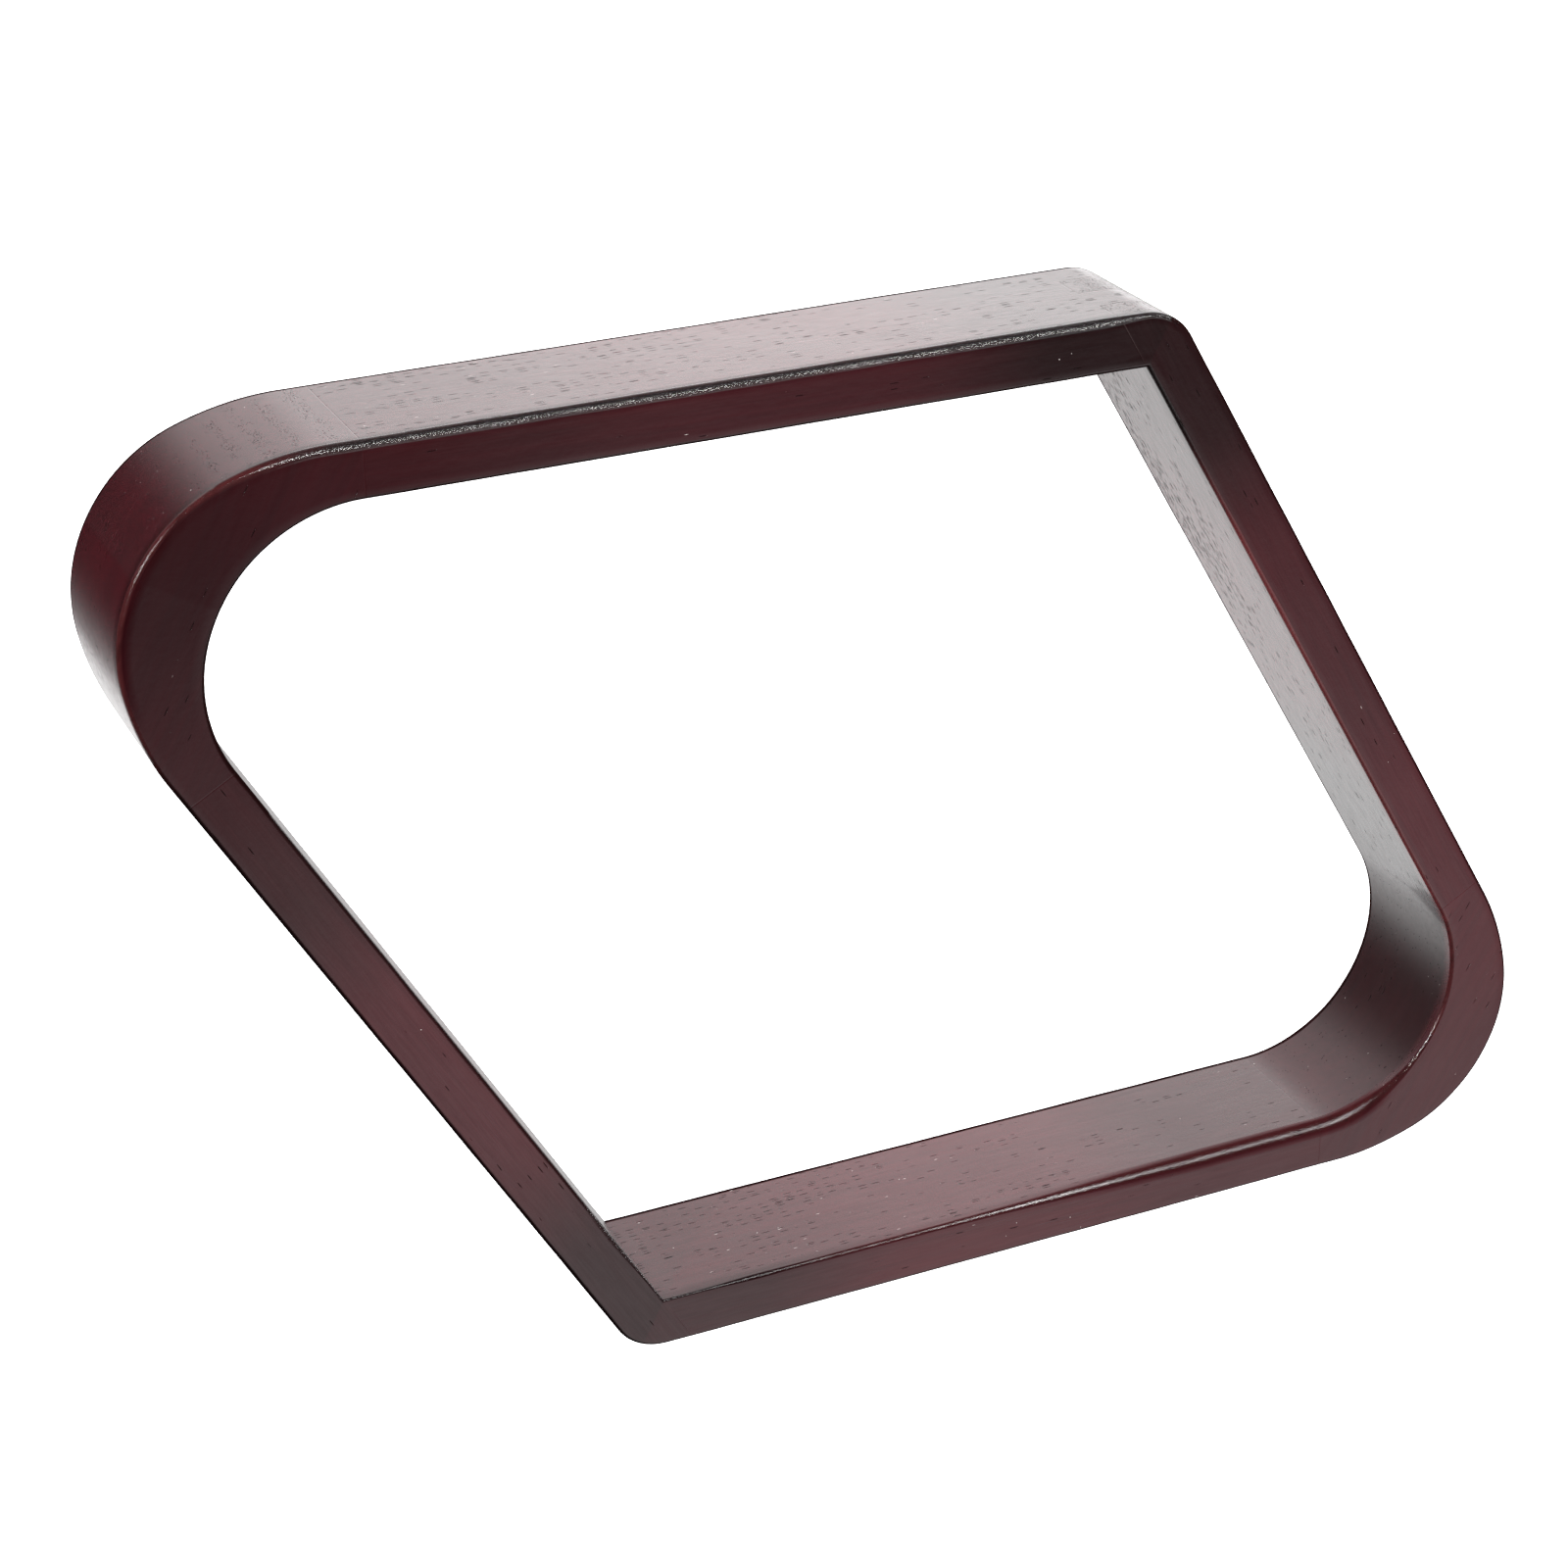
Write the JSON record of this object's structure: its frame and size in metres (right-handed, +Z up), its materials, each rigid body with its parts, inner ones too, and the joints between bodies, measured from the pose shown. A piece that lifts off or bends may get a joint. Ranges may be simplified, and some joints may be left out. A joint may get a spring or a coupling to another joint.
{
  "type": "diamond ball rack",
  "caption": "Rhombus-shaped wooden frame that gathers pool balls into a diamond, with slim rails, comb-jointed wide corners and rounded solid blocks at the narrow corners.",
  "frame": {"origin": "centre of the diamond, on the plane of the lower faces", "axes": "+X along the long diagonal, +Y along the short diagonal, +Z up"},
  "size_m": [0.291, 0.2008, 0.0286],
  "materials": {
    "rail_wood": "dark mahogany stain under satin lacquer, grain along the rail",
    "block_wood": "dark mahogany stain under satin lacquer, grain along the short diagonal"
  },
  "bodies": {
    "root": {"rail_back_left": "rail_wood", "rail_back_right": "rail_wood", "rail_front_left": "rail_wood", "rail_front_right": "rail_wood", "corner_block_left": "block_wood", "corner_block_right": "block_wood"}
  },
  "joints": []
}
